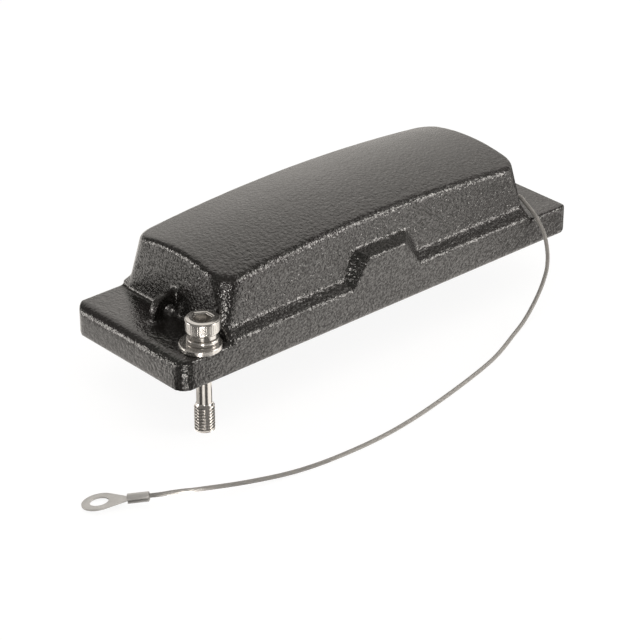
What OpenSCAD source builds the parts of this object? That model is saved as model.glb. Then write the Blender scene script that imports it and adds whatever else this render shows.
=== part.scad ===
// Protective cover for a rectangular bulkhead connector housing:
// a hollow cast cover with two captive screws and a wire-rope lanyard.
// The mating face lies at z = 0, the length runs along X and the screws point down.

/* [Dome] */
// Length of the dome where it stands on the ears
dome_l = 121; // [110:0.2:130]
// Width of the dome at the height of the ears
dome_w = 44.4; // [40:0.2:50]
// Height of the crown above the mating face
crown_h = 33.1; // [31:0.1:38]
// Slope of the dome's walls from upright, in degrees
wall_draft = 4.1; // [2:0.1:6]
// Radius of the crown along the length
crown_long_r = 490; // [450:10:900]
// Radius of the crown across the width
crown_cross_r = 66; // [50:1:90]
// Rounding between the walls and the crown
crown_edge_r = 1.8; // [1.2:0.1:3]
// Upright corner radius at the foot of the dome
foot_corner_r = 1.2; // [0.8:0.2:2]
// Upright corner radius under the crown
top_corner_r = 6.5; // [6:0.1:9]
// Thickness of the cast walls
wall = 3.2; // [2.4:0.1:3.6]
// Rounding between the cavity's walls and its roof
cavity_edge_r = 1.5; // [0.8:0.1:2]

/* [Ears and ledge] */
// Length of each ear beyond the dome
ear_l = 17.2; // [16:0.1:22]
// Thickness of the ears
ear_t = 9.4; // [8:0.2:12]
// Corner radius of the ears in plan
ear_corner_r = 4.5; // [3:0.5:6]
// Rounding of the ears' upper end edges
ear_end_r = 3.4; // [1.6:0.2:4]
// Rounding of the ears' upper side edges
ear_side_r = 0.8; // [0.4:0.2:1.4]
// Distance from the dome out to the long sides
ledge_w = 2.8; // [2:0.1:4]
// Height of the ledge's outer edge above the ears
ledge_up = 0.9; // [0.4:0.1:2]
// Slope of the ledge, in degrees
ledge_slope = 42; // [30:1:50]
// Corner radius of the ledge in plan
ledge_corner_r = 2; // [0.8:0.2:3]

/* [Side bosses] */
// Width of a boss at its foot, on the outer face
boss_foot_w = 26; // [22:0.5:32]
// Width of a boss at its top, on the outer face
boss_top_w = 14.5; // [10:0.5:18]
// Height of a boss above the ledge's outer edge
boss_h = 8.6; // [6:0.2:10]
// Widening of a boss's foot from its outer face to the dome's wall, on each side
boss_foot_flare = 2.4; // [1:0.1:4]
// Widening of a boss's top from its outer face to the dome's wall, on each side
boss_top_flare = 3.1; // [1:0.1:4]
// Rise of a boss's top from its outer face to the dome's wall
boss_rise = 2.2; // [0.5:0.1:3]

/* [Lugs] */
// Outer radius of a lug
lug_r = 5.8; // [5:0.1:7.5]
// Thickness of a lug
lug_t = 2.4; // [1.8:0.1:3]
// Diameter of the hole in a lug
lug_hole_d = 4.2; // [3.6:0.1:5]
// Distance of the hole from the dome's end
lug_out = 2.3; // [2.2:0.1:3.5]
// Height of the hole above the ears
lug_up = 2.3; // [2.2:0.1:3.5]

/* [Seal] */
// Width of the sealing ring
seal_w = 2.6; // [2:0.1:3]
// Thickness of the sealing ring
seal_t = 2.4; // [1.6:0.1:3]
// Land between the cavity and the seal's groove
seal_land = 1.2; // [0.8:0.1:1.6]
// Inner corner radius of the sealing ring
seal_corner_r = 2.4; // [1.5:0.1:3]
// Clearance of the sealing ring in its groove, on each side
seal_clear = 0.1; // [0.05:0.05:0.2]

/* [Screws] */
// Thread diameter of the screws
thread_d = 6; // [5:0.5:6.5]
// Length of a screw under its head
screw_l = 30; // [28:1:40]
// Length of the thread at the tip
thread_l = 8.6; // [6:0.2:12]
// Diameter of the waisted shank
shank_d = 4.5; // [4:0.1:4.7]
// Clearance between the shank and the threaded hole's crests, across the diameter
shank_clear = 0.5; // [0.3:0.05:0.7]
// Diameter of a screw head
head_d = 10; // [9:0.5:11]
// Diameter of a screw head at its foot
head_foot_d = 8.6; // [8:0.1:9]
// Height of the tapered foot of a screw head
head_taper_h = 2.2; // [1.6:0.1:2.6]
// Height of a screw head
head_h = 6; // [5:0.5:7]
// Width across flats of the hexagon socket
socket_af = 5; // [4:0.5:5.5]
// Depth of the hexagon socket
socket_deep = 3.2; // [2:0.2:3.6]
// Chamfer on the head and on the thread's ends
screw_chamfer = 0.6; // [0.3:0.1:0.8]
// Distance of a screw's axis from the long side
screw_edge = 5; // [4.5:0.1:6]

/* [Washers] */
// Diameter of a flat washer
flat_washer_d = 12.5; // [11:0.5:13]
// Thickness of a flat washer
flat_washer_t = 1.6; // [1:0.1:2]
// Diameter of a lock washer
lock_washer_d = 9.4; // [9:0.1:11]
// Thickness of a lock washer
lock_washer_t = 1.6; // [1:0.1:2]
// Gap at the split of a lock washer
lock_split = 0.7; // [0.4:0.1:1]
// Clearance of the washers' holes over the thread, across the diameter
washer_clear = 0.4; // [0.2:0.1:0.8]
// Clearance between a flat washer and the dome's end
washer_gap = 0.2; // [0.2:0.1:1]
// Clearance left to the shank where a flat washer rests towards the cover's end
washer_rest = 0.1; // [0.05:0.05:0.5]

/* [Lanyard] */
// Diameter of the wire rope
rope_d = 1.3; // [0.8:0.1:1.6]
// Clearance of the rope in the ferrule and the terminal, across the diameter
rope_clear = 0.1; // [0.05:0.05:0.2]
// Length of the ferrule
ferrule_l = 5; // [4:0.5:6]
// Wall of the ferrule
ferrule_wall = 0.75; // [0.5:0.05:1]
// Depth of each rope end in the ferrule
rope_in = 2; // [1.5:0.1:2.4]

/* [Ring terminal] */
// Outer diameter of the ring
ring_d = 9.8; // [9:0.2:13]
// Diameter of the ring's hole
ring_hole_d = 5.3; // [4.3:0.1:7]
// Thickness of the sheet
sheet_t = 0.5; // [0.4:0.1:0.9]
// Distance from the ring's centre to the barrel
barrel_out = 8; // [7:0.1:9]
// Length of the barrel
barrel_l = 6; // [5:0.1:7]
// Depth of the rope in the barrel
barrel_in = 4; // [3:0.1:4.4]
// Gap at the barrel's seam
seam_gap = 0.3; // [0.2:0.05:0.4]

/* [Hidden] */
$fn = 64;

cast_black = [0.16, 0.155, 0.15];
steel_bright = [0.78, 0.77, 0.75];
steel_rope = [0.62, 0.61, 0.6];
tin_grey = [0.7, 0.7, 0.68];
rubber_black = [0.08, 0.08, 0.08];

over = 1;
draft_run = tan(wall_draft);
cover_l = dome_l + 2 * ear_l;
cover_w = dome_w + 2 * ledge_w;
ledge_h = ear_t + ledge_up;
shoulder_h = crown_h - crown_edge_r;
top_inset = draft_run * (shoulder_h - ear_t);
top_half_l = dome_l / 2 - top_inset;
top_half_w = dome_w / 2 - top_inset;
cavity_half_l = dome_l / 2 - wall;
cavity_half_w = dome_w / 2 - wall;

screw_y = cover_w / 2 - screw_edge;
head_z = ear_t + flat_washer_t + lock_washer_t;
tapped_d = shank_d + shank_clear;
washer_hole_d = thread_d + washer_clear;
washer_shift = (washer_hole_d - shank_d) / 2 - washer_rest;
screw_x = dome_l / 2 + washer_gap + flat_washer_d / 2 - washer_shift;

lug_x = dome_l / 2 + lug_out;
lug_z = ear_t + lug_up;
rope_r = rope_d / 2;
rope_bore_d = rope_d + rope_clear;
rope_side = 0.7 * rope_d;
split_tilt = 25;
ferrule_off = [2.2, -6.6];
ferrule_x = lug_x + ferrule_off.x;
ferrule_y = ferrule_off.y;
barrel_d = rope_bore_d + 2 * sheet_t;
barrel_z = sheet_t;

// Roll, pitch and heading of the ring terminal as it lies, in degrees
terminal_turn = [-5, -10, -46];
ring_centre = [-113.7, -32.8, -16.4];

// Splitting of the dome's levels: steps along a long side, a short side and a corner
long_steps = 14;
short_steps = 8;
corner_steps = 9;
edge_steps = 7;
crown_shares = [0.86, 0.72, 0.56, 0.4, 0.2];

function unit(v) = v / norm(v);
function crown_z(x, y, drop) =
    crown_h - drop - x * x / (2 * crown_long_r) - y * y / (2 * crown_cross_r);

// A rounded rectangle from the corner at +X +Y round to the left, with its sides cut into equal steps
function outline(hx, hy, r) = [
    for (corner = [0:3])
        let (
            sx = corner == 0 || corner == 3 ? 1 : -1,
            sy = corner < 2 ? 1 : -1,
            along_x = corner % 2 == 0,
            steps = along_x ? long_steps : short_steps,
            start = along_x ? [sx * (hx - r), sy * hy] : [sx * hx, sy * (hy - r)],
            end = along_x ? [-sx * (hx - r), sy * hy] : [sx * hx, -sy * (hy - r)]
        )
        each concat(
            [for (i = [0:corner_steps - 1])
                let (a = 90 * (corner + i / corner_steps))
                [sx * (hx - r) + r * cos(a), sy * (hy - r) + r * sin(a)]],
            [for (i = [0:steps - 1]) start + (end - start) * i / steps]
        )
];

// Outward directions of the points of such an outline
facing = [
    for (corner = [0:3])
        let (
            sx = corner == 0 || corner == 3 ? 1 : -1,
            sy = corner < 2 ? 1 : -1,
            along_x = corner % 2 == 0,
            steps = along_x ? long_steps : short_steps
        )
        each concat(
            [for (i = [0:corner_steps - 1])
                let (a = 90 * (corner + i / corner_steps))
                [cos(a), sin(a)]],
            [for (i = [0:steps - 1]) along_x ? [0, sy] : [sx, 0]]
        )
];

// Levels of a domed body, from a flat foot over the rounded edge to the crown.
// Where the crown falls away the edge lies lower, so it is moved out along the sloping wall.
function dome_levels(foot_hx, foot_hy, foot_r, foot_z, hx, hy, r, edge_r, drop) =
    let (
        shoulder = outline(hx, hy, r),
        fall = [for (p = shoulder) crown_z(0, 0, 0) - crown_z(p.x, p.y, 0)],
        edge = [
            for (i = [0:edge_steps])
                let (
                    a = 90 * i / edge_steps,
                    inset = edge_r * (1 - cos(a)),
                    level = outline(hx - inset, hy - inset, r - inset)
                )
                [for (j = [0:len(level) - 1])
                    let (p = level[j] + draft_run * fall[j] * facing[j])
                    [p.x, p.y, crown_z(p.x, p.y, drop + edge_r * (1 - sin(a)))]]
        ],
        rim = edge[edge_steps]
    )
    concat(
        [[for (p = outline(foot_hx, foot_hy, foot_r)) [p.x, p.y, foot_z]]],
        edge,
        [for (s = crown_shares) [for (p = rim) [s * p.x, s * p.y, crown_z(s * p.x, s * p.y, drop)]]]
    );

// A closed body over stacked levels, with a flat foot and a centre point on the crown
module lofted(levels, peak) {
    n = len(levels[0]);
    last = (len(levels) - 1) * n;
    points = concat([for (l = levels) each l], [peak]);
    faces = concat(
        [[for (i = [0:n - 1]) i]],
        [for (k = [0:len(levels) - 2], i = [0:n - 1])
            each let (a = k * n + i, b = k * n + (i + 1) % n) [[a, a + n, b], [b, a + n, b + n]]],
        [for (i = [0:n - 1]) [last + i, last + n, last + (i + 1) % n]]
    );
    polyhedron(points, faces);
}

module dome() {
    foot_z = ear_t - over;
    spread = draft_run * over;
    lofted(
        dome_levels(
            dome_l / 2 + spread, dome_w / 2 + spread, foot_corner_r, foot_z,
            top_half_l, top_half_w, top_corner_r, crown_edge_r, 0
        ),
        [0, 0, crown_h]
    );
}

module cavity() {
    lofted(
        dome_levels(
            cavity_half_l, cavity_half_w, foot_corner_r, -over,
            top_half_l - wall, top_half_w - wall, top_corner_r - wall, cavity_edge_r, wall
        ),
        [0, 0, crown_h - wall]
    );
}

module rounded_plan(l, w, r) {
    square([l - 2 * r, w], center = true);
    square([l, w - 2 * r], center = true);
    for (x = [-1, 1], y = [-1, 1])
        translate([x * (l / 2 - r), y * (w / 2 - r)])
            circle(r);
}

// Section with rounded upper corners, drawn with its height along Y
module slab_section(l, h, r) {
    translate([-l / 2, 0])
        square([l, h - r]);
    translate([-l / 2 + r, 0])
        square([l - 2 * r, h]);
    for (x = [-1, 1])
        translate([x * (l / 2 - r), h - r])
            circle(r);
}

module along_x(l) {
    rotate([90, 0, 90])
        translate([0, 0, -l / 2])
            linear_extrude(l)
                children();
}

module along_y(w) {
    rotate([90, 0, 0])
        translate([0, 0, -w / 2])
            linear_extrude(w)
                children();
}

module ears() {
    intersection() {
        linear_extrude(ear_t)
            rounded_plan(cover_l, cover_w, ear_corner_r);
        along_y(cover_w)
            slab_section(cover_l, ear_t, ear_end_r);
        along_x(cover_l)
            slab_section(cover_w, ear_t, ear_side_r);
    }
}

// Raised middle of the flange, with a sloping ledge along both long sides
module ledge() {
    sunk = 2;
    end_in = 0.4;
    inner_half_w = dome_w / 2 - sunk;
    inner_h = ledge_h + (cover_w / 2 - inner_half_w) * tan(ledge_slope);
    end_half_l = dome_l / 2 - end_in;
    end_run = tan(2 * wall_draft) * (inner_h - ear_t);
    intersection() {
        linear_extrude(inner_h)
            rounded_plan(2 * end_half_l, cover_w, ledge_corner_r);
        along_x(2 * end_half_l)
            polygon([
                [-cover_w / 2, 0], [cover_w / 2, 0],
                [cover_w / 2, ledge_h], [inner_half_w, inner_h],
                [-inner_half_w, inner_h], [-cover_w / 2, ledge_h]
            ]);
        along_y(cover_w)
            polygon([
                [-end_half_l, 0], [end_half_l, 0],
                [end_half_l, ear_t], [end_half_l - end_run, inner_h],
                [end_run - end_half_l, inner_h], [-end_half_l, ear_t]
            ]);
    }
}

// Trapezoid of a boss, from its outer face (share 0) to the dome's wall (share 1) and on inwards
module boss_outline(share) {
    foot = boss_foot_w / 2 + share * boss_foot_flare;
    top = boss_top_w / 2 + share * boss_top_flare;
    top_z = ledge_h + boss_h + share * boss_rise;
    polygon([[-foot, 0], [foot, 0], [foot, ledge_h], [top, top_z], [-top, top_z], [-foot, ledge_h]]);
}

module side_bosses() {
    skin = 0.01;
    wall_deep = ledge_w + draft_run * (boss_h + ledge_up);
    deep = wall_deep + wall / 2;
    for (turn = [0, 180])
        rotate(turn)
            hull() {
                translate([0, (skin - cover_w) / 2, 0])
                    along_y(skin)
                        boss_outline(0);
                translate([0, deep - cover_w / 2, 0])
                    along_y(skin)
                        boss_outline(deep / wall_deep);
            }
}

// A lug seen along Y: round outside, level on top and running into the dome's end
module lug_section() {
    difference() {
        intersection() {
            union() {
                translate([lug_x, lug_z])
                    circle(lug_r);
                translate([dome_l / 2 - wall / 2, 0])
                    square([lug_out + wall / 2, lug_z + lug_r]);
            }
            translate([0, ear_t - over])
                square([lug_x + lug_r, lug_up + lug_r + over]);
        }
        translate([lug_x, lug_z])
            circle(d = lug_hole_d);
    }
}

module lugs() {
    for (turn = [0, 180])
        rotate(turn)
            along_y(lug_t)
                lug_section();
}

module at_screws() {
    for (side = [-1, 1])
        translate([side * screw_x, side * screw_y, 0])
            children();
}

// Ring in plan that both the groove and the sealing ring follow
module seal_plan(clearance) {
    half_l = cavity_half_l + seal_land;
    half_w = cavity_half_w + seal_land;
    difference() {
        rounded_plan(
            2 * (half_l + seal_w + clearance), 2 * (half_w + seal_w + clearance), seal_corner_r + seal_w
        );
        rounded_plan(2 * (half_l - clearance), 2 * (half_w - clearance), seal_corner_r);
    }
}

module cover_shell() {
    color(cast_black)
        difference() {
            union() {
                ears();
                ledge();
                dome();
                side_bosses();
                lugs();
            }
            cavity();
            translate([0, 0, -over])
                linear_extrude(seal_t + over)
                    seal_plan(0);
            at_screws()
                translate([0, 0, -over])
                    cylinder(h = ear_t + 2 * over, d = tapped_d);
        }
}

module mating_seal() {
    color(rubber_black)
        linear_extrude(seal_t)
            seal_plan(-seal_clear);
}

// Socket head screw with a waisted shank, standing on its seat at z = 0
module captive_screw() {
    tip_z = -screw_l;
    thread_z = tip_z + thread_l;
    neck = (thread_d - shank_d) / 2;
    difference() {
        rotate_extrude()
            polygon([
                [0, tip_z], [thread_d / 2 - screw_chamfer, tip_z],
                [thread_d / 2, tip_z + screw_chamfer], [thread_d / 2, thread_z - neck],
                [shank_d / 2, thread_z], [shank_d / 2, 0],
                [head_foot_d / 2, 0], [head_d / 2, head_taper_h], [head_d / 2, head_h - screw_chamfer],
                [head_d / 2 - screw_chamfer, head_h], [0, head_h]
            ]);
        translate([0, 0, head_h - socket_deep])
            cylinder(h = socket_deep + over, d = socket_af / cos(30), $fn = 6);
    }
}

module flat_washer() {
    linear_extrude(flat_washer_t)
        difference() {
            circle(d = flat_washer_d);
            circle(d = washer_hole_d);
        }
}

module lock_washer() {
    difference() {
        linear_extrude(lock_washer_t)
            difference() {
                circle(d = lock_washer_d);
                circle(d = washer_hole_d);
            }
        rotate([0, split_tilt, 0])
            translate([-lock_split / 2, 0, -over])
                cube([lock_split, lock_washer_d, lock_washer_t + 3 * over]);
    }
}

module screw_front_left() {
    color(steel_bright)
        translate([-screw_x, -screw_y, head_z])
            captive_screw();
}

module screw_rear_right() {
    color(steel_bright)
        translate([screw_x, screw_y, head_z])
            captive_screw();
}

module lock_washer_front_left() {
    color(steel_bright)
        translate([-screw_x, -screw_y, ear_t + flat_washer_t])
            lock_washer();
}

module lock_washer_rear_right() {
    color(steel_bright)
        translate([screw_x, screw_y, ear_t + flat_washer_t])
            rotate(180)
                lock_washer();
}

module flat_washer_front_left() {
    color(steel_bright)
        translate([-screw_x - washer_shift, -screw_y, ear_t])
            flat_washer();
}

module flat_washer_rear_right() {
    color(steel_bright)
        translate([screw_x + washer_shift, screw_y, ear_t])
            flat_washer();
}

// Points of the rope's eye through the right lug, from the ferrule's front bore round to its rear bore
loop_points = [
    for (p = [
        [ferrule_off.x - rope_side, ferrule_y - rope_in], [ferrule_off.x - rope_side, ferrule_y],
        [1.3, -3.2], [1.2, 0], [1.5, 3], [4.2, 4.8], [7, 3.2], [7.7, 0], [6.7, -3.2], [4.4, -5.2],
        [ferrule_off.x + rope_side, ferrule_y], [ferrule_off.x + rope_side, ferrule_y - rope_in]
    ])
        [lug_x + p.x, p.y, lug_z]
];

// Turning of the ring terminal as it lies: about X, then Y, then Z
function turned(p, t) =
    let (
        a = [p.x, p.y * cos(t.x) - p.z * sin(t.x), p.y * sin(t.x) + p.z * cos(t.x)],
        b = [a.x * cos(t.y) + a.z * sin(t.y), a.y, a.z * cos(t.y) - a.x * sin(t.y)]
    )
    [b.x * cos(t.z) - b.y * sin(t.z), b.x * sin(t.z) + b.y * cos(t.z), b.z];

function on_barrel(x) = ring_centre + turned([x, 0, barrel_z], terminal_turn);

// Route of the free rope: from the ferrule, over the right ear, down to the ground and round to the terminal
cord_points = concat(
    [
        for (y = [ferrule_y - ferrule_l + rope_in, ferrule_y - ferrule_l])
            [ferrule_x - rope_side, y, lug_z]
    ],
    [
        [63.9, -16.3, 12.9], [63.1, -19.5, 12.2], [62.5, -22.7, 11.1], [61.8, -25.8, 9.8],
        [61.8, -28, 7.3], [61.6, -29.8, 4.9], [61.1, -31.4, 1.6], [60.4, -32.5, -1.9],
        [58.9, -33.3, -5.9], [54.7, -34.5, -11], [47.1, -37, -15.3], [38.4, -40.4, -16.6],
        [21.2, -47.5, -16.72], [-5.3, -54, -16.72], [-27.3, -57.5, -16.72], [-46.3, -57.8, -16.72],
        [-62.3, -56, -16.6], [-77.3, -53.2, -15.2], [-91.8, -49.7, -13.2], [-97.8, -47.2, -12.7]
    ],
    [
        for (x = [barrel_out + barrel_l + 3, barrel_out + barrel_l, barrel_out + barrel_l - barrel_in])
            on_barrel(x)
    ]
);

// A smooth line through the points, cut into steps of about the given length
function spline(p, step) =
    let (last = len(p) - 1)
    concat(
        [
            for (i = [0:last - 1])
                let (
                    a = p[i],
                    b = p[i + 1],
                    before = p[max(i - 1, 0)],
                    after = p[min(i + 2, last)],
                    steps = max(1, round(norm(b - a) / step))
                )
                for (k = [0:steps - 1])
                    let (t = k / steps)
                    (2 * a + (b - before) * t + (2 * before - 5 * a + 4 * b - after) * t * t
                        + (3 * a - before - 3 * b + after) * t * t * t) / 2
        ],
        [p[last]]
    );

// A tube of eight sides along a line that never runs along the given direction
module rope(path, across) {
    sides = 8;
    last = len(path) - 1;
    points = [
        for (i = [0:last])
            let (
                along = unit(path[min(i + 1, last)] - path[max(i - 1, 0)]),
                u = unit(cross(along, across)),
                v = cross(along, u)
            )
            for (k = [0:sides - 1])
                path[i] + rope_r * (cos(360 * k / sides) * u + sin(360 * k / sides) * v)
    ];
    faces = concat(
        [[for (k = [0:sides - 1]) k]],
        [for (i = [0:last - 1], k = [0:sides - 1])
            each let (a = i * sides + k, b = i * sides + (k + 1) % sides)
                [[a, a + sides, b], [b, a + sides, b + sides]]],
        [[for (k = [sides - 1:-1:0]) last * sides + k]]
    );
    polyhedron(points, faces);
}

module lanyard_loop() {
    color(steel_rope)
        rope(spline(loop_points, rope_d), [0, 0, 1]);
}

module lanyard_cord() {
    color(steel_rope)
        rope(spline(cord_points, 3 * rope_d), [0.6, 0.8, 0.1]);
}

// Oval crimp sleeve round the two ropes of the eye
module lanyard_ferrule() {
    outer_r = rope_bore_d / 2 + ferrule_wall;
    color(tin_grey)
        translate([ferrule_x, ferrule_y, lug_z])
            rotate([90, 0, 0])
                linear_extrude(ferrule_l)
                    difference() {
                        union() {
                            square([2 * rope_side, 2 * outer_r], center = true);
                            for (x = [-1, 1])
                                translate([x * rope_side, 0])
                                    circle(outer_r);
                        }
                        for (x = [-1, 1])
                            translate([x * rope_side, 0])
                                circle(d = rope_bore_d);
                    }
}

// Crimp ring terminal, with the ring's centre at the origin and the barrel along +X.
// The tongue's edges leave the ring where they touch its circle.
module terminal_tongue() {
    root = barrel_out + over;
    neck = [barrel_out, 0.45 * barrel_d];
    lean = atan2(neck.y, neck.x) + acos(ring_d / 2 / norm(neck));
    touch = ring_d / 2 * [cos(lean), sin(lean)];
    difference() {
        union() {
            circle(d = ring_d);
            polygon([
                [touch.x, -touch.y], [neck.x, -neck.y], [root, -neck.y],
                [root, neck.y], [neck.x, neck.y], [touch.x, touch.y]
            ]);
        }
        circle(d = ring_hole_d);
    }
}

// Rolled barrel seen along its axis, with an open seam above a flat lip
module barrel_section() {
    seam_angle = -155;
    lip_t = 0.7 * sheet_t;
    difference() {
        circle(d = barrel_d);
        rotate(seam_angle)
            translate([0, -seam_gap / 2])
                square([barrel_d, seam_gap]);
    }
    translate([-barrel_d / 2, -barrel_d / 2])
        square([barrel_d / 2, lip_t]);
}

module terminal_body() {
    linear_extrude(sheet_t)
        terminal_tongue();
    translate([barrel_out, 0, barrel_z])
        rotate([90, 0, 90])
            difference() {
                linear_extrude(barrel_l)
                    barrel_section();
                translate([0, 0, barrel_l - barrel_in])
                    cylinder(h = barrel_in + over, d = rope_bore_d);
            }
}

module ring_terminal() {
    color(tin_grey)
        translate(ring_centre)
            rotate(terminal_turn)
                terminal_body();
}

cover_shell();
mating_seal();
screw_front_left();
screw_rear_right();
lock_washer_front_left();
lock_washer_rear_right();
flat_washer_front_left();
flat_washer_rear_right();
lanyard_loop();
lanyard_ferrule();
lanyard_cord();
ring_terminal();
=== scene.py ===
import math

import bmesh
import bpy
import numpy as np
from mathutils import Matrix, Vector


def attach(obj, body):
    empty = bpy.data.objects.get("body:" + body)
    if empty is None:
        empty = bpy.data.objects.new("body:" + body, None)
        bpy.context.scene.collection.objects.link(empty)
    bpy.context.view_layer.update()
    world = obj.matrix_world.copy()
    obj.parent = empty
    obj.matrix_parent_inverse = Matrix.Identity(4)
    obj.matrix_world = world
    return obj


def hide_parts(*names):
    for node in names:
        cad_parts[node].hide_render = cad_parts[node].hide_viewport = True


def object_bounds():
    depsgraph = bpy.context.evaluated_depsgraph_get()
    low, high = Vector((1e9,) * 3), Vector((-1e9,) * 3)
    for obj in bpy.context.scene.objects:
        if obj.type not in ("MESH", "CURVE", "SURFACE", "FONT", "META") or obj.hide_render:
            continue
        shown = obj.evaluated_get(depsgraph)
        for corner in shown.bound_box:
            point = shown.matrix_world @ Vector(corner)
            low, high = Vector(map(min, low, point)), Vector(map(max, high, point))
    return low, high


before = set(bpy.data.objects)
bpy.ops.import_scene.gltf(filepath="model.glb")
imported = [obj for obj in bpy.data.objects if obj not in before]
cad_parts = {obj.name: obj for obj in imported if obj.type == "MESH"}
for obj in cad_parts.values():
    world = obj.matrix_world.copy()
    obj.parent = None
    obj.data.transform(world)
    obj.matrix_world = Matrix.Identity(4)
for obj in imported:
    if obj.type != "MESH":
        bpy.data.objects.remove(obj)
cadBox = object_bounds()
mm = 0.001
scene = bpy.context.scene
scene.view_settings.view_transform = "Standard"


# camera at the photograph's place; its focal length is in pixels of a picture this wide
cameraPlace = {"azimuth": -41.74, "elevation": 28.33, "distance": 0.76972, "aim": (-0.01985, -0.01743, 0.0),
               "focal": 2629.16, "picture": 640, "sensor": 36.0, "clip": (0.01, 20.0)}


def makeCamera(place):
    a, e = math.radians(place["azimuth"]), math.radians(place["elevation"])
    back = Vector((math.sin(a) * math.cos(e), -math.cos(a) * math.cos(e), math.sin(e)))
    data = bpy.data.cameras.new("photoCamera")
    data.sensor_width = place["sensor"]
    data.lens = data.sensor_width * place["focal"] / place["picture"]
    data.clip_start, data.clip_end = place["clip"]
    camera = bpy.data.objects.new("photoCamera", data)
    scene.collection.objects.link(camera)
    camera.rotation_mode = "QUATERNION"
    camera.location = Vector(place["aim"]) + back * place["distance"]
    camera.rotation_quaternion = (-back).to_track_quat("-Z", "Y")
    scene.camera = camera


makeCamera(cameraPlace)
print("camera placed")


# helpers for pieces, node trees and materials
def addPiece(name, mesh, material=None):
    piece = bpy.data.objects.new(name, mesh)
    scene.collection.objects.link(piece)
    if material:
        mesh.materials.clear()
        mesh.materials.append(material)
    return piece


def smoothShade(mesh):
    mesh.polygons.foreach_set("use_smooth", [True] * len(mesh.polygons))


def meshFrom(name, points, faces):
    mesh = bpy.data.meshes.new(name)
    mesh.from_pydata(points, [], faces)
    mesh.validate()
    work = bmesh.new()
    work.from_mesh(mesh)
    bmesh.ops.recalc_face_normals(work, faces=work.faces)
    work.to_mesh(mesh)
    work.free()
    smoothShade(mesh)
    return mesh


def lineMesh(name, points):
    mesh = bpy.data.meshes.new(name)
    mesh.from_pydata([tuple(p) for p in points], [(i, i + 1) for i in range(len(points) - 1)], [])
    return mesh


def solidCopy(node, name, mergeGap=0.002 * mm, flatAngle=0.6):
    # the CAD node's mesh, merged, with its flat faces made whole again
    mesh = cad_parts[node].data.copy()
    mesh.name = name
    work = bmesh.new()
    work.from_mesh(mesh)
    bmesh.ops.remove_doubles(work, verts=work.verts, dist=mergeGap)
    bmesh.ops.dissolve_limit(work, angle_limit=math.radians(flatAngle), verts=work.verts, edges=work.edges)
    bmesh.ops.recalc_face_normals(work, faces=work.faces)
    work.to_mesh(mesh)
    work.free()
    return mesh


def seat(piece, body, slot, *nodes):
    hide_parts(*nodes)
    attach(piece, body)


class Tree:
    # a short way to write node trees: add a node, set its values, link its sockets
    def __init__(self, tree):
        self.tree = tree

    def link(self, source, node, socket):
        self.tree.links.new(source, node.inputs[socket])

    def add(self, kind, values=None, links=None, **settings):
        node = self.tree.nodes.new(kind)
        for key, value in settings.items():
            setattr(node, key, value)
        for key, value in (values or {}).items():
            node.inputs[key].default_value = value
        for key, source in (links or {}).items():
            self.link(source, node, key)
        return node

    def math(self, operation, a, b=None, c=None):
        node = self.add("ShaderNodeMath", operation=operation)
        for i, value in enumerate((a, b, c)):
            if isinstance(value, (int, float)):
                node.inputs[i].default_value = value
            elif value is not None:
                self.link(value, node, i)
        return node.outputs[0]

    def vector(self, operation, a, b=None, scale=None):
        node = self.add("ShaderNodeVectorMath", operation=operation)
        for i, value in enumerate((a, b)):
            if isinstance(value, tuple):
                node.inputs[i].default_value = value
            elif value is not None:
                self.link(value, node, i)
        if scale is not None:
            self.link(scale, node, "Scale")
        return node.outputs["Value" if operation in ("LENGTH", "DOT_PRODUCT") else "Vector"]

    def ramp(self, value, low, high, start, end, smooth=True):
        node = self.add("ShaderNodeMapRange",
                        {"From Min": low, "From Max": high, "To Min": start, "To Max": end}, {"Value": value},
                        interpolation_type="SMOOTHSTEP" if smooth else "LINEAR")
        return node.outputs["Result"]

    def noise(self, place, scale, detail, **more):
        node = self.add("ShaderNodeTexNoise", {"Scale": scale, "Detail": detail, **more}, {"Vector": place})
        return node.outputs["Fac"]

    def split(self, vector):
        return self.add("ShaderNodeSeparateXYZ", links={0: vector}).outputs


def geometryTree(name, sizes):
    tree = bpy.data.node_groups.new(name, "GeometryNodeTree")
    tree.interface.new_socket("Geometry", in_out="INPUT", socket_type="NodeSocketGeometry")
    for key, value in sizes.items():
        kind = "NodeSocketInt" if isinstance(value, int) else "NodeSocketFloat"
        tree.interface.new_socket(key, in_out="INPUT", socket_type=kind)
    tree.interface.new_socket("Geometry", in_out="OUTPUT", socket_type="NodeSocketGeometry")
    kit = Tree(tree)
    return kit, kit.add("NodeGroupInput").outputs, kit.add("NodeGroupOutput")


def finishTree(kit, out, geometry, material):
    real = kit.add("GeometryNodeRealizeInstances", links={0: geometry})
    painted = kit.add("GeometryNodeSetMaterial", {"Material": material}, {"Geometry": real.outputs[0]})
    kit.link(painted.outputs[0], out, 0)


def settle(piece):
    # the evaluated mesh takes the place of the piece's own, without its modifiers
    bpy.context.view_layer.update()
    evaluated = piece.evaluated_get(bpy.context.evaluated_depsgraph_get())
    mesh = bpy.data.meshes.new_from_object(evaluated)
    piece.modifiers.clear()
    old, piece.data = piece.data, mesh
    bpy.data.meshes.remove(old)
    mesh.name = piece.name


def applyTree(piece, kit, sizes):
    modifier = piece.modifiers.new(kit.tree.name, "NODES")
    modifier.node_group = kit.tree
    for item in kit.tree.interface.items_tree:
        if item.in_out == "INPUT" and item.name in sizes:
            modifier[item.identifier] = sizes[item.name]
    settle(piece)


def startMaterial(name, **sockets):
    material = bpy.data.materials.new(name)
    material.use_nodes = True
    kit = Tree(material.node_tree)
    shader = next(n for n in material.node_tree.nodes if n.type == "BSDF_PRINCIPLED")
    for key, value in sockets.items():
        shader.inputs[key.replace("_", " ")].default_value = value
    place = kit.add("ShaderNodeTexCoord").outputs["Object"]
    return material, kit, shader, place


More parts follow.
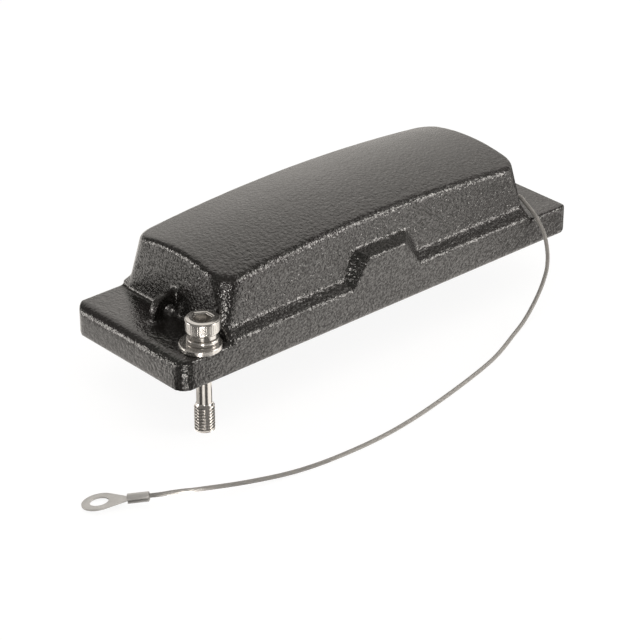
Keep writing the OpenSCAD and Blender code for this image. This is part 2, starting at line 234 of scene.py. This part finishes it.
def emptyMaterial(name):
    material = bpy.data.materials.new(name)
    material.use_nodes = True
    material.node_tree.nodes.clear()
    return material, Tree(material.node_tree)


# black coat with a leather grain; endPits and leather are ramps of (from, to, start, end) along Z and Y
coatLook = {"dark": (0.008, 0.0074, 0.0068, 1), "pale": (0.015, 0.0138, 0.0126, 1), "shine": 0.88,
            "cloudScale": 45.0, "cloudDetail": 4.0, "cloudSpan": (0.3, 0.7), "rough": 0.2, "roughSpan": 0.04,
            "speck": 0.6 * mm, "speckSpan": (0.36, 0.64), "topPits": 0.14, "sidePits": 0.22,
            "endPits": (0.0095, 0.012, 0.1, 0.5), "grainDetail": 1.0, "pebble": 1.0 * mm,
            "pebbleHeight": 0.2 * mm, "pebbleRough": 0.45, "pebbleTwist": 0.35, "fine": 0.42 * mm,
            "fineHeight": 0.07 * mm, "leather": (-0.018, 0.006, 1.5, 0.75)}


def coatedCasting(look):
    material, kit, shader, place = startMaterial("coatedCasting")
    cloud = kit.noise(place, look["cloudScale"], look["cloudDetail"])
    shade = kit.add("ShaderNodeMixRGB", {"Color1": look["dark"], "Color2": look["pale"]}, {"Fac": cloud})
    kit.link(shade.outputs[0], shader, "Base Color")
    roughEnds = (look["rough"] - look["roughSpan"], look["rough"] + look["roughSpan"])
    kit.link(kit.ramp(cloud, *look["cloudSpan"], *roughEnds), shader, "Roughness")
    # the grain's pits shine less than its tops, and are deeper on the walls than on top
    speck = kit.noise(place, 1 / look["speck"], look["grainDetail"])
    facing = kit.split(kit.add("ShaderNodeNewGeometry").outputs["Normal"])
    at = kit.split(place)
    endDepth = kit.ramp(at["Z"], *look["endPits"])
    depth = kit.math("MULTIPLY_ADD", kit.math("POWER", facing["X"], 2.0), endDepth, look["topPits"])
    depth = kit.math("MULTIPLY_ADD", kit.math("POWER", facing["Y"], 2.0), look["sidePits"], depth)
    pits = kit.ramp(speck, *look["speckSpan"], -1.0, 1.0)
    kit.link(kit.math("MULTIPLY_ADD", pits, depth, look["shine"]), shader, "Specular IOR Level")
    # the leather grain is deepest along the front and wears smoother to the back
    pebbles = kit.noise(place, 1 / look["pebble"], look["grainDetail"], Roughness=look["pebbleRough"],
                        Distortion=look["pebbleTwist"])
    relief = kit.math("MULTIPLY", pebbles, kit.ramp(at["Y"], *look["leather"]))
    grain = kit.add("ShaderNodeBump", {"Strength": 1.0, "Distance": look["pebbleHeight"]}, {"Height": relief})
    fine = kit.noise(place, 1 / look["fine"], look["grainDetail"])
    bump = kit.add("ShaderNodeBump", {"Strength": 1.0, "Distance": look["fineHeight"]},
                   {"Height": fine, "Normal": grain.outputs["Normal"]})
    kit.link(bump.outputs["Normal"], shader, "Normal")
    return material


# bare metals and rubber: a look for each, and the small marks that a kind has in common
steelLook = {"colour": (0.70, 0.68, 0.655, 1), "metallic": 0.92, "rough": 0.18, "marks": 0.15 * mm}
ropeLook = {"colour": (0.43, 0.42, 0.405, 1), "metallic": 0.35, "rough": 0.5, "marks": 0.25 * mm}
tinLook = {"colour": (0.64, 0.635, 0.625, 1), "metallic": 0.4, "rough": 0.4, "marks": 0.5 * mm}
metalCloud = {"scale": 260.0, "detail": 2.0, "dull": 0.82}
metalMarks = {"detail": 3.0, "span": (0.3, 0.7), "roughSteps": (-0.06, 0.08), "strength": 0.25,
              "depth": 0.01 * mm}
rubberLook = {"colour": (0.018, 0.018, 0.018, 1), "rough": 0.62, "marks": 0.3 * mm}
rubberMarks = {"detail": 3.0, "span": (0.3, 0.7), "roughSteps": (-0.1, 0.1), "strength": 0.4,
               "depth": 0.02 * mm}


def addMarks(kit, shader, place, look, form):
    marks = kit.noise(place, 1 / look["marks"], form["detail"])
    roughEnds = [look["rough"] + step for step in form["roughSteps"]]
    bump = kit.add("ShaderNodeBump", {"Strength": form["strength"], "Distance": form["depth"]},
                   {"Height": marks})
    kit.link(kit.ramp(marks, *form["span"], *roughEnds), shader, "Roughness")
    kit.link(bump.outputs["Normal"], shader, "Normal")


def metal(name, look):
    material, kit, shader, place = startMaterial(name, Metallic=look["metallic"])
    cloud = kit.noise(place, metalCloud["scale"], metalCloud["detail"])
    dull = tuple(metalCloud["dull"] * c for c in look["colour"][:3]) + (1,)
    shade = kit.add("ShaderNodeMixRGB", {"Color1": look["colour"], "Color2": dull}, {"Fac": cloud})
    kit.link(shade.outputs[0], shader, "Base Color")
    addMarks(kit, shader, place, look, metalMarks)
    return material


def rubber(name, look):
    material, kit, shader, place = startMaterial(name, Base_Color=look["colour"])
    addMarks(kit, shader, place, look, rubberMarks)
    return material


blackCoat = coatedCasting(coatLook)
brightSteel = metal("brightSteel", steelLook)
ropeSteel = metal("ropeSteel", ropeLook)
tinnedMetal = metal("tinnedMetal", tinLook)
sealRubber = rubber("sealRubber", rubberLook)
print("finishes made")


# lanyard: a laid wire rope along the solid's own route, whose points are in millimetres
ropeSizes = {"strandCount": 9, "strandRadius": 0.165 * mm, "laidRadius": 0.478 * mm, "coreRadius": 0.36 * mm,
             "layLength": 9.0 * mm}
ropeForm = {"diameter": 1.3 * mm, "step": 0.55 * mm, "wireSides": 8}
eyeHeight = 11.7
eyePlan = [(64.09, -8.6), (64.09, -6.6), (64.1, -3.2), (64.0, 0), (64.3, 3), (67.0, 4.8), (69.8, 3.2),
           (70.5, 0), (69.5, -3.2), (67.2, -5.2), (65.91, -6.6), (65.91, -8.6)]
cordRoute = [(64.09, -9.6, eyeHeight), (64.09, -11.6, eyeHeight), (63.9, -16.3, 12.9), (63.1, -19.5, 12.2),
             (62.5, -22.7, 11.1), (61.8, -25.8, 9.8), (61.8, -28, 7.3), (61.6, -29.8, 4.9),
             (61.1, -31.4, 1.6), (60.4, -32.5, -1.9), (58.9, -33.3, -5.9), (54.7, -34.5, -11),
             (47.1, -37, -15.3), (38.4, -40.4, -16.6), (21.2, -47.5, -16.72), (-5.3, -54, -16.72),
             (-27.3, -57.5, -16.72), (-46.3, -57.8, -16.72), (-62.3, -56, -16.6), (-77.3, -53.2, -15.2),
             (-91.8, -49.7, -13.2), (-97.8, -47.2, -12.7), (-102.1, -44.75, -12.96),
             (-104.15, -42.63, -13.48), (-106.89, -39.79, -14.17)]


def smoothRoute(route, step):
    # a smooth line through all points, as the solid's own
    p = [np.array(q, float) * mm for q in route]
    last = len(p) - 1
    line = []
    for i in range(last):
        a, b, before, after = p[i], p[i + 1], p[max(i - 1, 0)], p[min(i + 2, last)]
        steps = max(1, round(np.linalg.norm(b - a) / step))
        for t in np.arange(steps) / steps:
            line.append((2 * a + (b - before) * t + (2 * before - 5 * a + 4 * b - after) * t * t
                         + (3 * a - before - 3 * b + after) * t ** 3) / 2)
    return np.array(line + [p[last]])


def laidRopeTree(material):
    kit, given, out = geometryTree("laidRope", ropeSizes)
    line = kit.add("GeometryNodeMeshToCurve", links={"Mesh": given["Geometry"]})
    copies = kit.add("GeometryNodeDuplicateElements",
                     links={"Geometry": line.outputs[0], "Amount": given["strandCount"]}, domain="SPLINE")
    along = kit.add("GeometryNodeSplineParameter").outputs["Length"]
    tangent = kit.add("GeometryNodeInputTangent").outputs[0]
    normal = kit.add("GeometryNodeInputNormal").outputs[0]
    side = kit.vector("CROSS_PRODUCT", tangent, normal)
    turns = kit.math("ADD", kit.math("DIVIDE", along, given["layLength"]),
                     kit.math("DIVIDE", copies.outputs["Duplicate Index"], given["strandCount"]))
    angle = kit.math("MULTIPLY", turns, 2 * math.pi)
    acrossX = kit.math("MULTIPLY", kit.math("COSINE", angle), given["laidRadius"])
    acrossY = kit.math("MULTIPLY", kit.math("SINE", angle), given["laidRadius"])
    offset = kit.vector("ADD", kit.vector("SCALE", normal, scale=acrossX),
                        kit.vector("SCALE", side, scale=acrossY))
    laid = kit.add("GeometryNodeSetPosition", links={"Geometry": copies.outputs[0], "Offset": offset})
    tubes = []
    for curve, radius in ((laid, "strandRadius"), (line, "coreRadius")):
        wire = kit.add("GeometryNodeCurvePrimitiveCircle", {"Resolution": ropeForm["wireSides"]},
                       {"Radius": given[radius]})
        tubes.append(kit.add("GeometryNodeCurveToMesh", {"Fill Caps": True},
                             {"Curve": curve.outputs[0], "Profile Curve": wire.outputs[0]}))
    whole = kit.add("GeometryNodeJoinGeometry")
    for tube in reversed(tubes):
        kit.link(tube.outputs[0], whole, 0)
    smooth = kit.add("GeometryNodeSetShadeSmooth", links={"Geometry": whole.outputs[0]})
    finishTree(kit, out, smooth.outputs[0], material)
    return kit


laidRope = laidRopeTree(ropeSteel)
cordLine = smoothRoute(cordRoute, ropeForm["step"])
ropeCord = addPiece("ropeCord", lineMesh("ropeCord", cordLine))
applyTree(ropeCord, laidRope, ropeSizes)
eyeLine = smoothRoute([(x, y, eyeHeight) for x, y in eyePlan], ropeForm["step"])
ropeEye = addPiece("ropeEye", lineMesh("ropeEye", eyeLine))
applyTree(ropeEye, laidRope, ropeSizes)
seat(ropeCord, "cover", "rope_steel", "lanyard_cord")
seat(ropeEye, "cover", "rope_steel", "lanyard_loop")


# crimped pieces on the rope
crimpEdges = {"ferrule": 0.18 * mm, "terminal": 0.14 * mm}
softEdge = {"segments": 2, "fromAngle": 25}


def softened(name, node, width, material):
    piece = addPiece(name, solidCopy(node, name), material)
    bevel = piece.modifiers.new("softEdges", "BEVEL")
    bevel.width = width
    bevel.segments = softEdge["segments"]
    bevel.limit_method = "ANGLE"
    bevel.angle_limit = math.radians(softEdge["fromAngle"])
    smoothShade(piece.data)
    return piece


ferrule = softened("ropeFerrule", "lanyard_ferrule", crimpEdges["ferrule"], tinnedMetal)
seat(ferrule, "cover", "tinned_metal", "lanyard_ferrule")
terminal = softened("ringTerminal", "ring_terminal", crimpEdges["terminal"], tinnedMetal)
seat(terminal, "cover", "tinned_metal", "ring_terminal")
print("crimps made")


# captive screws: a turned outline, with knurl and thread cut by one tree; heights count from the seat
screwSizes = {"knurlCount": 44, "knurlDepth": 0.06 * mm, "knurlLow": 2.35 * mm, "knurlHigh": 5.5 * mm,
              "threadPitch": 1.0 * mm, "threadDepth": 0.6 * mm, "threadLow": -29.8 * mm,
              "threadHigh": -21.6 * mm}
grooveForm = {"knurlLand": 0.55, "knurlFade": 0.25 * mm, "knurlReach": 0.3 * mm,
              "threadLand": 0.12, "threadFade": 0.5 * mm, "threadReach": 0.05 * mm, "axisGap": 0.01 * mm}
# the outline, in millimetres
screwForm = {"headRadius": 5.0, "footRadius": 4.3, "shankRadius": 2.25, "threadRadius": 3.0, "length": 30.0,
             "threadLength": 8.6, "taperHeight": 2.2, "headHeight": 6.0, "crown": 0.13, "socketFlats": 5.0,
             "socketDepth": 3.2, "drillRadius": 1.2, "drillDrops": (0.1, 0.35), "poleRadius": 0.02,
             "threadInsets": (0.12, 0.75), "knurlInsets": (0.12, 0.53)}
# steps outwards and upwards from the corner that each list is named for
screwSteps = {"tip": [(-0.75, 0), (-0.62, 0.05)],
              "neck": [(0.25, -0.25), (0, 0), (0, 0.4)],
              "seat": [(0, -0.4), (0, 0)],
              "foot": [(-0.7, 0), (-0.65, 0.28), (-0.05, 0.3), (0.1, 0.42), (0.12, 0.5)],
              "waist": [(0.16, -0.6), (0.2, -0.5)],
              "shoulder": [(-0.16, -0.25), (-0.03, 0)],
              "rim": [(-0.05, -0.3), (-0.17, -0.12), (-0.32, -0.02), (-0.4, 0), (-0.46, 0.01)],
              "crest": [(-1.25, 0), (-1.4, 0)],
              "socketMouth": [(0.75, -0.09), (0.65, -0.13), (0, -0.36), (0, -0.42)],
              "socketFloor": [(0, 0.2), (0, 0.15), (-0.3, 0)]}
screwCuts = {"segments": 264, "threadRings": 84, "knurlRings": 12}
corners = {"FrontLeft": ("front_left", Vector((-66.1, -20, 12.6)) * mm),
           "RearRight": ("rear_right", Vector((66.1, 20, 12.6)) * mm)}


def turnedMesh(rings, segments):
    # rings of (radius, height) in millimetres; a radius may follow a hexagon
    points, faces = [], []
    for radius, z in rings:
        for i in range(segments):
            t = 2 * math.pi * i / segments
            r = radius(t) if callable(radius) else radius
            points.append((r * math.cos(t) * mm, r * math.sin(t) * mm, z * mm))
    for k in range(len(rings) - 1):
        here, there = k * segments, (k + 1) * segments
        for i in range(segments):
            j = (i + 1) % segments
            faces.append((here + i, here + j, there + j, there + i))
    faces += [tuple(range(segments)), tuple(range(len(points) - segments, len(points)))]
    return points, faces


def hexRadius(flats):
    return lambda t: flats / 2 / math.cos((t + math.pi / 6) % (math.pi / 3) - math.pi / 6)


def screwRings(form, steps, cuts):
    rHead, rFoot, rShank, rThread = (form[k + "Radius"] for k in ("head", "foot", "shank", "thread"))
    tip, neck = -form["length"], form["threadLength"] - form["length"]
    taper, head = form["taperHeight"], form["headHeight"]
    floor = head - form["socketDepth"]

    def turned(name, radius, height):
        return [(radius + outward, height + up) for outward, up in steps[name]]

    def sixSided(name, height):
        return [(hexRadius(form["socketFlats"] + wider), height + up) for wider, up in steps[name]]

    def straight(radius, low, high, count):
        return [(radius, low + (high - low) * i / count) for i in range(count + 1)]

    threadStart, threadEnd = form["threadInsets"]
    knurlStart, knurlEnd = form["knurlInsets"]
    coneTop, coneTip = form["drillDrops"]
    rings = [(form["poleRadius"], tip)] + turned("tip", rThread, tip)
    rings += straight(rThread, tip + threadStart, neck - threadEnd, cuts["threadRings"])
    rings += turned("neck", rShank, neck) + turned("seat", rShank, 0)
    rings += turned("foot", rFoot, 0) + turned("waist", rFoot, taper) + turned("shoulder", rHead, taper)
    rings += straight(rHead, taper + knurlStart, head - knurlEnd, cuts["knurlRings"])
    rings += turned("rim", rHead, head - form["crown"]) + turned("crest", rHead, head)
    rings += sixSided("socketMouth", head) + sixSided("socketFloor", floor)
    rings += [(form["drillRadius"], floor - coneTop), (form["poleRadius"], floor - coneTip)]
    return rings


def screwTree(material, form):
    kit, given, out = geometryTree("knurlAndThread", screwSizes)
    at = kit.split(kit.add("GeometryNodeInputPosition").outputs[0])
    turn = kit.math("DIVIDE", kit.math("ARCTAN2", at["Y"], at["X"]), 2 * math.pi)
    flat = kit.add("ShaderNodeCombineXYZ", links={"X": at["X"], "Y": at["Y"]}).outputs[0]
    radius = kit.vector("LENGTH", flat)

    def band(low, high, fade):
        rise = kit.add("ShaderNodeMapRange", links={"Value": at["Z"], "From Min": low,
                                                    "From Max": kit.math("ADD", low, fade)}).outputs["Result"]
        fall = kit.add("ShaderNodeMapRange", {"To Min": 1.0, "To Max": 0.0},
                       {"Value": at["Z"], "From Min": kit.math("SUBTRACT", high, fade),
                        "From Max": high}).outputs["Result"]
        return kit.math("MULTIPLY", rise, fall)

    def groove(kind, phase, outside):
        # cuts where the outline stands at its full radius, between the low and the high end
        outer = kit.math("GREATER_THAN", radius, outside * mm - form[kind + "Reach"])
        ends = band(given[kind + "Low"], given[kind + "High"], form[kind + "Fade"])
        wave = kit.ramp(kit.math("PINGPONG", phase, 0.5), form[kind + "Land"] / 2, 0.5, 0.0, 1.0, False)
        cut = kit.math("MULTIPLY", wave, given[kind + "Depth"])
        return kit.math("MULTIPLY", cut, kit.math("MULTIPLY", outer, ends))

    knurl = groove("knurl", kit.math("MULTIPLY", turn, given["knurlCount"]), screwForm["headRadius"])
    climb = kit.math("SUBTRACT", kit.math("DIVIDE", at["Z"], given["threadPitch"]), turn)
    thread = groove("thread", climb, screwForm["threadRadius"])
    inward = kit.math("DIVIDE", kit.math("MULTIPLY", kit.math("ADD", knurl, thread), -1.0),
                      kit.math("MAXIMUM", radius, form["axisGap"]))
    moved = kit.add("GeometryNodeSetPosition", links={"Geometry": given["Geometry"],
                                                      "Offset": kit.vector("SCALE", flat, scale=inward)})
    finishTree(kit, out, moved.outputs[0], material)
    return kit


knurlAndThread = screwTree(brightSteel, grooveForm)
screwPoints, screwFaces = turnedMesh(screwRings(screwForm, screwSteps, screwCuts), screwCuts["segments"])
for corner, (place, spot) in corners.items():
    screw = addPiece("screw" + corner, meshFrom("screw" + corner, screwPoints, screwFaces))
    applyTree(screw, knurlAndThread, screwSizes)
    screw.data.transform(Matrix.Translation(spot))
    seat(screw, "turning_screw_" + place, "stainless", "screw_" + place)
print("screws turned")


# washers, in millimetres; a guard is the short flat beside each rounded edge that keeps the faces flat
washerForm = {"flatRadius": 6.245, "flatHeight": 1.6, "lockRadius": 4.7, "lockHeight": 1.6, "hole": 3.2,
              "edge": 0.3, "edgeSteps": 4, "guard": 0.05, "shift": 0.85, "split": 0.7, "slant": 0.75,
              "steps": 96}


def sweptRing(name, section, angles, centre, closed, slant=0.0):
    # section of (radius, height) points carried round the centre
    points, faces = [], []
    n, count = len(section), len(angles)
    low, high = min(z for _, z in section), max(z for _, z in section)
    for t in angles:
        for r, z in section:
            turn = t + slant * ((z - low) / (high - low) - 0.5) / r
            points.append((centre[0] + r * math.cos(turn), centre[1] + r * math.sin(turn), centre[2] + z))
    for k in range(count if closed else count - 1):
        here, there = k * n, ((k + 1) % count) * n
        faces += [(here + i, here + (i + 1) % n, there + (i + 1) % n, there + i) for i in range(n)]
    if not closed:
        faces += [tuple(range(n)), tuple(range(len(points) - n, len(points)))]
    return meshFrom(name, points, faces)


def roundedSection(form, outer, height):
    inner, edge, guard, steps = form["hole"], form["edge"], form["guard"], form["edgeSteps"]
    section = []
    for x, z, start in ((outer - edge, edge, -90), (outer - edge, height - edge, 0),
                        (inner + edge, height - edge, 90), (inner + edge, edge, 180)):
        arc = [math.radians(start + 90 * i / steps) for i in range(steps + 1)]
        bend = [(x + edge * math.cos(t), z + edge * math.sin(t)) for t in arc]
        before = (bend[0][0] + guard * math.sin(arc[0]), bend[0][1] - guard * math.cos(arc[0]))
        after = (bend[-1][0] - guard * math.sin(arc[-1]), bend[-1][1] + guard * math.cos(arc[-1]))
        section += [(r * mm, h * mm) for r, h in [before] + bend + [after]]
    return section


def addWashers(corner, place, spot, form):
    # the flat washer is pushed towards the cover's end in its play; the lock washer's split faces inwards
    side = 1 if spot.x > 0 else -1
    steps = form["steps"]
    lockFoot = spot - Vector((0, 0, form["lockHeight"])) * mm
    flatFoot = lockFoot + Vector((side * form["shift"], 0, -form["flatHeight"])) * mm
    around = [2 * math.pi * i / steps for i in range(steps)]
    flatSection = roundedSection(form, form["flatRadius"], form["flatHeight"])
    flatMesh = sweptRing("flatWasher" + corner, flatSection, around, flatFoot, True)
    flat = addPiece("flatWasher" + corner, flatMesh, brightSteel)
    seat(flat, "washers_" + place, "stainless", "flat_washer_" + place)
    gap = form["split"] / form["lockRadius"]
    start = -side * math.pi / 2 + gap / 2
    cut = [start + (2 * math.pi - gap) * i / steps for i in range(steps + 1)]
    lockSection = roundedSection(form, form["lockRadius"], form["lockHeight"])
    lockMesh = sweptRing("lockWasher" + corner, lockSection, cut, lockFoot, False, form["slant"] * mm)
    lock = addPiece("lockWasher" + corner, lockMesh, brightSteel)
    seat(lock, "washers_" + place, "stainless", "lock_washer_" + place)


for corner, (place, spot) in corners.items():
    addWashers(corner, place, spot, washerForm)
print("washers made")


# cast cover: the solid, remeshed with the soft edges of a coated casting, and its sealing ring
castSizes = {"cell": 0.57 * mm, "rounds": 3, "share": 0.5, "keptFaces": 0.82, "sealEdge": 0.3 * mm}


def castCover(sizes):
    piece = addPiece("castCover", solidCopy("cover_shell", "castCover"))
    remesh = piece.modifiers.new("evenCells", "REMESH")
    remesh.mode = "VOXEL"
    remesh.voxel_size = sizes["cell"]
    remesh.adaptivity = 0
    remesh.use_smooth_shade = True
    smooth = piece.modifiers.new("softEdges", "SMOOTH")
    smooth.factor = sizes["share"]
    smooth.iterations = sizes["rounds"]
    fewer = piece.modifiers.new("fewerFaces", "DECIMATE")  # fewer faces for the remeshed cover; for less than 200,000 triangles
    fewer.ratio = sizes["keptFaces"]
    settle(piece)
    piece.data.materials.clear()
    piece.data.materials.append(blackCoat)
    return piece


cover = castCover(castSizes)
seat(cover, "cover", "coated_casting", "cover_shell")
seal = softened("sealRing", "mating_seal", castSizes["sealEdge"], sealRubber)
seat(seal, "cover", "seal_rubber", "mating_seal")
print("cover cast,", len(cover.data.polygons), "faces")


# studio floor: white to the camera, darker towards both ends in reflections; a fall is (from, to, share)
white = (1, 1, 1, 1)
warmWhite = (1.0, 0.955, 0.90, 1)
floorLook = {"drop": 0.05 * mm, "half": 3.0, "glow": 0.9, "mirrored": 1.5, "seen": (0.16, 0.16, 0.16, 1),
             "matt": (0.8, 0.8, 0.8, 1), "rightFall": (0.085, 0.125, 0.62), "leftFall": (-0.16, -0.06, 0.58)}


def paleFloor(look):
    z, h = cadBox[0].z - look["drop"], look["half"]
    square = [(-h, -h, z), (h, -h, z), (h, h, z), (-h, h, z)]
    floor = addPiece("paleFloor", meshFrom("paleFloor", square, [(0, 1, 2, 3)]))
    material, kit = emptyMaterial("paleFloor")
    path = kit.add("ShaderNodeLightPath").outputs
    glow = kit.add("ShaderNodeEmission", {"Color": white, "Strength": look["glow"]})
    along = kit.split(kit.add("ShaderNodeTexCoord").outputs["Object"])["X"]
    low, high, share = look["leftFall"]
    left = kit.ramp(along, low, high, share * look["mirrored"], look["mirrored"])
    low, high, share = look["rightFall"]
    level = kit.math("MULTIPLY", left, kit.ramp(along, low, high, 1.0, share))
    warm = kit.add("ShaderNodeEmission", {"Color": warmWhite}, {"Strength": level})
    seen = kit.add("ShaderNodeBsdfDiffuse", {"Color": look["seen"]})
    matt = kit.add("ShaderNodeBsdfDiffuse", {"Color": look["matt"]})
    plain = kit.add("ShaderNodeAddShader", links={0: glow.outputs[0], 1: seen.outputs[0]})
    mirrored = kit.math("MAXIMUM", path["Is Glossy Ray"], path["Is Transmission Ray"])
    lit = kit.add("ShaderNodeMixShader", links={"Fac": mirrored, 1: matt.outputs[0], 2: warm.outputs[0]})
    mix = kit.add("ShaderNodeMixShader",
                  links={"Fac": path["Is Camera Ray"], 1: lit.outputs[0], 2: plain.outputs[0]})
    kit.add("ShaderNodeOutputMaterial", links={"Surface": mix.outputs[0]})
    floor.data.materials.append(material)


# soft sky: a bright part behind the object, a pale horizon, and a small glow that the sloping ledge sees
skyLook = {"brightWay": (0.62, 0.57, 0.54), "brightCos": (0.66, 0.92), "bright": 1.4, "dim": 0.2,
           "rightFall": (0.58, 0.74, 0.62), "leftFall": (0.46, 0.6, 0.72), "lowFall": (0.0, 0.3, 0.72),
           "horizon": 0.5, "horizonSine": (0.05, 0.3), "glowWay": (0.586, -0.54, 0.60),
           "glowCos": (0.975, 0.995), "glow": 1.8}


def softSky(look):
    world = bpy.data.worlds.new("softSky")
    scene.world = world
    world.use_nodes = True
    world.node_tree.nodes.clear()
    kit = Tree(world.node_tree)
    way = kit.add("ShaderNodeTexCoord").outputs["Generated"]
    parts = kit.split(way)
    toBright, toGlow = (kit.vector("DOT_PRODUCT", way, tuple(Vector(look[key]).normalized()))
                        for key in ("brightWay", "glowWay"))
    lobe = kit.ramp(toBright, *look["brightCos"], look["dim"], look["bright"])
    for axis, (low, high, share), rising in (("X", look["rightFall"], False), ("X", look["leftFall"], True),
                                             ("Z", look["lowFall"], True)):
        ends = (share, 1.0) if rising else (1.0, share)
        lobe = kit.math("MULTIPLY", lobe, kit.ramp(parts[axis], low, high, *ends))
    band = kit.ramp(parts["Z"], *look["horizonSine"], look["horizon"], look["dim"])
    glow = kit.ramp(toGlow, *look["glowCos"], 0.0, look["glow"])
    level = kit.math("MAXIMUM", kit.math("MAXIMUM", lobe, band), glow)
    lit = kit.add("ShaderNodeBackground", {"Color": warmWhite}, {"Strength": level})
    plain = kit.add("ShaderNodeBackground", {"Color": white})
    path = kit.add("ShaderNodeLightPath").outputs
    mix = kit.add("ShaderNodeMixShader",
                  links={"Fac": path["Is Camera Ray"], 1: lit.outputs[0], 2: plain.outputs[0]})
    kit.add("ShaderNodeOutputWorld", links={"Surface": mix.outputs[0]})


# softboxes: way and distance from the origin, size and level, and whether reflections see them
softboxes = {"frontRightBox": {"way": (0.60, -0.775, 0.19), "far": 1.2, "width": 0.6, "height": 0.42,
                               "level": 6.8, "mirrored": True},
             "leftBackBox": {"way": (-0.725, 0.66, 0.11), "far": 1.2, "width": 0.5, "height": 0.26,
                             "level": 6.5, "mirrored": True},
             "overheadFill": {"way": (-0.2, -0.3, 1.0), "far": 1.5, "width": 1.6, "height": 1.6,
                              "level": 1.4, "mirrored": False}}


def softbox(name, form):
    data = bpy.data.lights.new(name, "AREA")
    data.shape = "RECTANGLE"
    data.size, data.size_y = form["width"], form["height"]
    data.energy = form["level"] * math.pi * form["width"] * form["height"]
    data.color = warmWhite[:3]
    lamp = bpy.data.objects.new(name, data)
    scene.collection.objects.link(lamp)
    way = Vector(form["way"]).normalized()
    lamp.location = way * form["far"]
    lamp.rotation_mode = "QUATERNION"
    lamp.rotation_quaternion = (-way).to_track_quat("-Z", "Y")
    lamp.visible_camera = False
    lamp.visible_glossy = form["mirrored"]


# cards: glowing fans on the floor round the front left screw that only reflections see; they are painted
# reflections, the bright ones painted highlights and the dark ones painted shade, and underDark is the
# cover's painted shadow on the floor; each from and to an angle off the camera's direction, from and to a
# radius, and a level
cardLift = 0.3 * mm
paintedReflectionFans = {"leftDark": (-76, -11, 0.032, 0.056, 0.06), "headLeftDark": (-60, -11, 0.056, 0.07, 0.6),
         "farLeftDark": (-76, -11, 0.07, 2.0, 0.06), "shankBright": (-15, 8, 0.004, 0.032, 1.25),
         "shankLeftDark": (-69, -21, 0.004, 0.032, 0.06), "shankRightDark": (13, 56, 0.004, 0.032, 0.06),
         "shankSideDark": (-150, -71, 0.004, 0.032, 0.58), "underDark": (122, 208, 0.004, 0.032, 0.08),
         "cornerBright": (-3.4, 1.4, 0.042, 0.056, 45.0), "headBright": (-6, 5, 0.056, 0.08, 1.3),
         "domeBright": (-3, 9, 0.08, 2.0, 13.0), "nearDark": (8, 62, 0.032, 0.056, 0.06),
         "headRightDark": (8, 50, 0.056, 0.07, 0.6), "farDark": (12, 68, 0.07, 2.0, 0.06),
         "rearDark": (131.7, 160, 0.155, 0.37, 0.08), "earDark": (115.5, 124, 0.148, 0.22, 0.6)}


def paintedReflectionCard(name, fan, centre):
    start, end, near, far, level = fan
    toCamera = cameraPlace["azimuth"] - 90
    z = cadBox[0].z + cardLift
    points = []
    for radius, turn in ((near, start), (far, start), (far, end), (near, end)):
        t = math.radians(toCamera + turn)
        points.append((centre.x + radius * math.cos(t), centre.y + radius * math.sin(t), z))
    card = addPiece(name, meshFrom(name, points, [(0, 1, 2, 3)]))
    material, kit = emptyMaterial(name)
    glow = kit.add("ShaderNodeEmission", {"Color": warmWhite, "Strength": level})
    kit.add("ShaderNodeOutputMaterial", links={"Surface": glow.outputs[0]})
    card.data.materials.append(material)
    # the card glows only in reflections, as a painted highlight or painted shade
    card.visible_camera = card.visible_diffuse = card.visible_shadow = False
    card.visible_transmission = card.visible_volume_scatter = False


paleFloor(floorLook)
softSky(skyLook)
for name, form in softboxes.items():
    softbox(name, form)
for name, fan in paintedReflectionFans.items():
    paintedReflectionCard(name, fan, corners["FrontLeft"][1])
print("studio lit")
